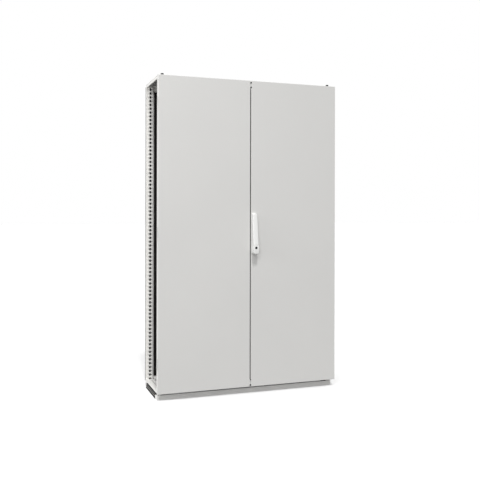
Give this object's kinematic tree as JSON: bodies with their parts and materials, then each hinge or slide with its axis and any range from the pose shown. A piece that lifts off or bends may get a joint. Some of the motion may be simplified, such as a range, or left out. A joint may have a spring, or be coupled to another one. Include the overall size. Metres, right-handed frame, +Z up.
{
  "type": "industrial switchboard cabinet",
  "caption": "Free-standing double-door industrial switchboard cabinet with open baying sides, swing handle, lock rods and a low base frame.",
  "frame": {"origin": "centre of the bounding box's underside, on the floor", "axes": "+X to the right seen from the front, -Y out of the doors, +Z up"},
  "size_m": [1.2, 0.444, 2.0148],
  "materials": {
    "door_paint": "light grey textured powder coat",
    "frame_paint": "light grey smooth powder coat",
    "zinc": "zinc-plated sheet steel",
    "pin_steel": "bright steel",
    "base_paint": "light grey powder coat, slightly darker than the doors",
    "black_rubber": "matt black foam and rubber",
    "black_steel": "blackened steel",
    "handle_white": "near-white moulded plastic"
  },
  "bodies": {
    "cabinet": {"post_front_left": "frame_paint", "post_front_right": "frame_paint", "post_rear_left": "frame_paint", "post_rear_right": "frame_paint", "top_rail_front": "frame_paint", "top_rail_rear": "frame_paint", "top_rail_left": "frame_paint", "top_rail_right": "frame_paint", "bottom_rail_front": "frame_paint", "bottom_rail_rear": "frame_paint", "bottom_rail_left": "frame_paint", "bottom_rail_right": "frame_paint", "roof_plate": "door_paint", "rear_panel": "door_paint", "mounting_plate": "zinc", "bottom_plate": "zinc", "striker_top": "zinc", "striker_bottom": "zinc", "roof_bolt_front_left": "black_steel", "roof_bolt_front_right": "black_steel", "roof_bolt_rear_left": "black_steel", "roof_bolt_rear_right": "black_steel", "base_front": "base_paint", "base_rear": "base_paint", "base_left": "base_paint", "base_right": "base_paint", "hinge_bracket_left_lower": "zinc", "hinge_bracket_left_middle": "zinc", "hinge_bracket_left_upper": "zinc", "hinge_bracket_right_lower": "zinc", "hinge_bracket_right_middle": "zinc", "hinge_bracket_right_upper": "zinc"},
    "left_door": {"door_panel_left": "door_paint", "door_frame_left": "zinc", "door_seal_left": "black_rubber", "hinge_leaf_left_lower": "zinc", "hinge_pin_left_lower": "pin_steel", "hinge_leaf_left_middle": "zinc", "hinge_pin_left_middle": "pin_steel", "hinge_leaf_left_upper": "zinc", "hinge_pin_left_upper": "pin_steel"},
    "right_door": {"door_panel_right": "door_paint", "door_frame_right": "zinc", "door_seal_right": "black_rubber", "hinge_leaf_right_lower": "zinc", "hinge_pin_right_lower": "pin_steel", "hinge_leaf_right_middle": "zinc", "hinge_pin_right_middle": "pin_steel", "hinge_leaf_right_upper": "zinc", "hinge_pin_right_upper": "pin_steel", "centre_seal": "black_rubber", "handle_base": "handle_white", "lock_gearbox": "zinc"},
    "handle_turret": {"handle_turret": "pin_steel"},
    "handle_lever": {"handle_lever": "handle_white"},
    "lock_insert": {"lock_insert": "pin_steel"},
    "lock_rod_upper": {"lock_rod_upper": "zinc"},
    "lock_rod_lower": {"lock_rod_lower": "zinc"},
    "left_bolt_upper": {"left_bolt_upper": "zinc"},
    "left_bolt_lower": {"left_bolt_lower": "zinc"}
  },
  "joints": [
    {"name": "left_door_swing", "type": "hinge", "parent": "cabinet", "child": "left_door", "pos_m": [-0.588, -0.166, 1.02], "axis": [0, 0, -1], "range_deg": [0, 130]},
    {"name": "right_door_swing", "type": "hinge", "parent": "cabinet", "child": "right_door", "pos_m": [0.588, -0.166, 1.02], "axis": [0, 0, 1], "range_deg": [0, 130]},
    {"name": "handle_turn", "type": "hinge", "parent": "right_door", "child": "handle_turret", "pos_m": [0.0235, -0.178, 1.141], "axis": [0, -1, 0], "range_deg": [0, 90]},
    {"name": "handle_tilt", "type": "hinge", "parent": "handle_turret", "child": "handle_lever", "pos_m": [0.0235, -0.1915, 1.141], "axis": [-1, 0, 0], "range_deg": [0, 28]},
    {"name": "key_turn", "type": "hinge", "parent": "right_door", "child": "lock_insert", "pos_m": [0.0235, -0.198, 0.932], "axis": [0, -1, 0], "range_deg": [0, 90]},
    {"name": "upper_rod_slide", "type": "slide", "parent": "right_door", "child": "lock_rod_upper", "axis": [0, 0, -1], "range_m": [0, 0.018]},
    {"name": "lower_rod_slide", "type": "slide", "parent": "right_door", "child": "lock_rod_lower", "axis": [0, 0, 1], "range_m": [0, 0.018]},
    {"name": "left_bolt_upper_slide", "type": "slide", "parent": "left_door", "child": "left_bolt_upper", "axis": [0, 0, -1], "range_m": [0, 0.018]},
    {"name": "left_bolt_lower_slide", "type": "slide", "parent": "left_door", "child": "left_bolt_lower", "axis": [0, 0, 1], "range_m": [0, 0.018]}
  ],
  "couplings": [
    {"joint": "upper_rod_slide", "follows": "handle_turn", "m_per_rad": 0.01145},
    {"joint": "lower_rod_slide", "follows": "handle_turn", "m_per_rad": 0.01145}
  ]
}
